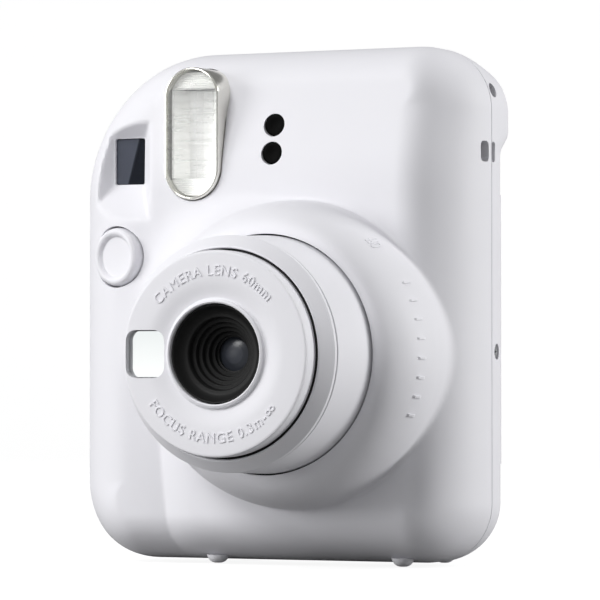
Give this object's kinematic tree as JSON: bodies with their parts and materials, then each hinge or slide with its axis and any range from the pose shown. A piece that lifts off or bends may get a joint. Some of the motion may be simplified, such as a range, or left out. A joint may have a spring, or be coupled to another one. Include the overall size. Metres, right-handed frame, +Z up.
{
  "type": "instant camera",
  "caption": "Small instant film camera with a twist-out lens, pill-shaped flash, corner viewfinder, tilted shutter button, hinged film and battery doors and a powered print exit on top.",
  "frame": {"origin": "under the middle of the bounding box, on the plane the feet stand on", "axes": "+X towards the viewfinder-free side (the grip is at -X), +Y from the lens to the back, +Z up"},
  "size_m": [0.104, 0.086, 0.123],
  "materials": {
    "white_plastic": "satin white moulded plastic",
    "black_plastic": "black satin moulded plastic",
    "clear_plastic": "clear moulded plastic",
    "smoked_glass": "smoked clear plastic",
    "champagne_chrome": "warm grey bright plated trim",
    "mirror": "bright mirror",
    "lens_glass": "coated optical glass",
    "steel": "satin steel",
    "spring_steel": "drawn spring wire",
    "aluminium": "bright aluminium",
    "rubber": "matt black rubber",
    "green_board": "green solder-masked board",
    "battery_sleeve": "plain dark cell sleeve",
    "gear_nylon": "natural nylon"
  },
  "bodies": {
    "camera_body": {"battery_contact_top": "steel", "battery_door_pin": "steel", "battery_front": "battery_sleeve", "battery_rear": "battery_sleeve", "battery_spring_front": "spring_steel", "battery_spring_rear": "spring_steel", "bottom_screw_left": "steel", "bottom_screw_right": "steel", "counter_window": "clear_plastic", "door_hinge_pin": "steel", "drive_motor": "steel", "film_chamber": "black_plastic", "film_pack": "black_plastic", "finder_eyepiece": "smoked_glass", "finder_front_window": "smoked_glass", "finder_tunnel": "black_plastic", "flash_bezel": "champagne_chrome", "flash_capacitor": "aluminium", "flash_reflector": "aluminium", "flash_tube": "clear_plastic", "flash_window": "clear_plastic", "front_cover": "white_plastic", "gear_plate": "steel", "helicoid_sleeve": "black_plastic", "main_board": "green_board", "rear_cover": "white_plastic", "sensor_cover": "smoked_glass", "shutter_button_spring": "spring_steel", "shutter_switch": "black_plastic", "side_screw": "steel", "upper_side_screw": "steel"},
    "lens_barrel": {"lens_barrel": "black_plastic", "front_plate": "white_plastic", "selfie_mirror": "mirror", "lens_baffle": "black_plastic", "lens_cell": "black_plastic", "front_lens": "lens_glass", "rear_lens": "lens_glass", "shutter_housing": "black_plastic"},
    "twist_ring": {"twist_ring": "white_plastic", "ring_trim": "white_plastic"},
    "upper_blade": {"shutter_blade_upper": "steel"},
    "lower_blade": {"shutter_blade_lower": "steel"},
    "shutter_button": {"shutter_button": "white_plastic"},
    "film_door": {"film_door": "white_plastic", "door_window": "smoked_glass"},
    "door_latch": {"door_latch": "white_plastic"},
    "battery_door": {"battery_door": "white_plastic"},
    "drive_roller": {"drive_roller": "rubber", "drive_roller_gear": "gear_nylon"},
    "pressure_roller": {"pressure_roller": "steel", "pressure_roller_gear": "gear_nylon"},
    "small_idler": {"idler_gear_small": "gear_nylon"},
    "large_idler": {"idler_gear_large": "gear_nylon"},
    "motor_pinion": {"motor_pinion": "gear_nylon"},
    "film_claw": {"film_claw": "steel"},
    "exit_flap": {"exit_flap": "black_plastic"},
    "counter_dial": {"counter_dial": "white_plastic"}
  },
  "joints": [
    {"name": "lens_extend", "type": "slide", "parent": "camera_body", "child": "lens_barrel", "axis": [0, -1, 0], "range_m": [-0.0196, 0.003]},
    {"name": "ring_twist", "type": "hinge", "parent": "lens_barrel", "child": "twist_ring", "pos_m": [0.012, -0.025, 0.0498], "axis": [0, 1, 0], "range_deg": [-90, 12]},
    {"name": "upper_blade_swing", "type": "hinge", "parent": "lens_barrel", "child": "upper_blade", "pos_m": [0.0265, -0.0264, 0.0528], "axis": [0, 1, 0], "range_deg": [0, 25]},
    {"name": "lower_blade_swing", "type": "hinge", "parent": "lens_barrel", "child": "lower_blade", "pos_m": [0.0265, -0.0257, 0.0468], "axis": [0, 1, 0], "range_deg": [-25, 0]},
    {"name": "shutter_press", "type": "slide", "parent": "camera_body", "child": "shutter_button", "axis": [0.2756, 0.9613, 0], "range_m": [0, 0.0012]},
    {"name": "film_door_open", "type": "hinge", "parent": "camera_body", "child": "film_door", "pos_m": [0.0486, 0.0322, 0.05], "axis": [0, 0, -1], "range_deg": [0, 100]},
    {"name": "latch_slide", "type": "slide", "parent": "camera_body", "child": "door_latch", "axis": [0, 0, 1], "range_m": [0, 0.005]},
    {"name": "battery_door_open", "type": "hinge", "parent": "camera_body", "child": "battery_door", "pos_m": [-0.0507, 0.0239, 0.038], "axis": [0, 0, 1], "range_deg": [0, 95]},
    {"name": "drive_roller_spin", "type": "hinge", "parent": "camera_body", "child": "drive_roller", "pos_m": [-0.0185, 0.0218, 0.1055], "axis": [1, 0, 0], "continuous": true},
    {"name": "pressure_roller_spin", "type": "hinge", "parent": "camera_body", "child": "pressure_roller", "pos_m": [-0.0185, 0.02895, 0.1055], "axis": [1, 0, 0], "continuous": true},
    {"name": "small_idler_spin", "type": "hinge", "parent": "camera_body", "child": "small_idler", "pos_m": [-0.0262, 0.02402, 0.0987], "axis": [1, 0, 0], "continuous": true},
    {"name": "large_idler_spin", "type": "hinge", "parent": "camera_body", "child": "large_idler", "pos_m": [-0.0262, 0.0198, 0.09115], "axis": [1, 0, 0], "continuous": true},
    {"name": "motor_pinion_spin", "type": "hinge", "parent": "camera_body", "child": "motor_pinion", "pos_m": [-0.0262, 0.023, 0.0842], "axis": [1, 0, 0], "continuous": true},
    {"name": "claw_stroke", "type": "slide", "parent": "camera_body", "child": "film_claw", "axis": [0, 0, 1], "range_m": [0, 0.008]},
    {"name": "exit_flap_open", "type": "hinge", "parent": "camera_body", "child": "exit_flap", "pos_m": [0, 0.0242, 0.1194], "axis": [1, 0, 0], "range_deg": [0, 60]},
    {"name": "counter_turn", "type": "hinge", "parent": "camera_body", "child": "counter_dial", "pos_m": [-0.034, 0.0342, 0.0726], "axis": [0, 1, 0], "range_deg": [0, 300]}
  ],
  "couplings": [
    {"joint": "lens_extend", "follows": "ring_twist", "m_per_rad": 0.01235},
    {"joint": "lower_blade_swing", "follows": "upper_blade_swing", "ratio": -1},
    {"joint": "pressure_roller_spin", "follows": "drive_roller_spin", "ratio": -1},
    {"joint": "small_idler_spin", "follows": "drive_roller_spin", "ratio": -1},
    {"joint": "large_idler_spin", "follows": "drive_roller_spin", "ratio": 0.7},
    {"joint": "motor_pinion_spin", "follows": "drive_roller_spin", "ratio": -1.4}
  ]
}
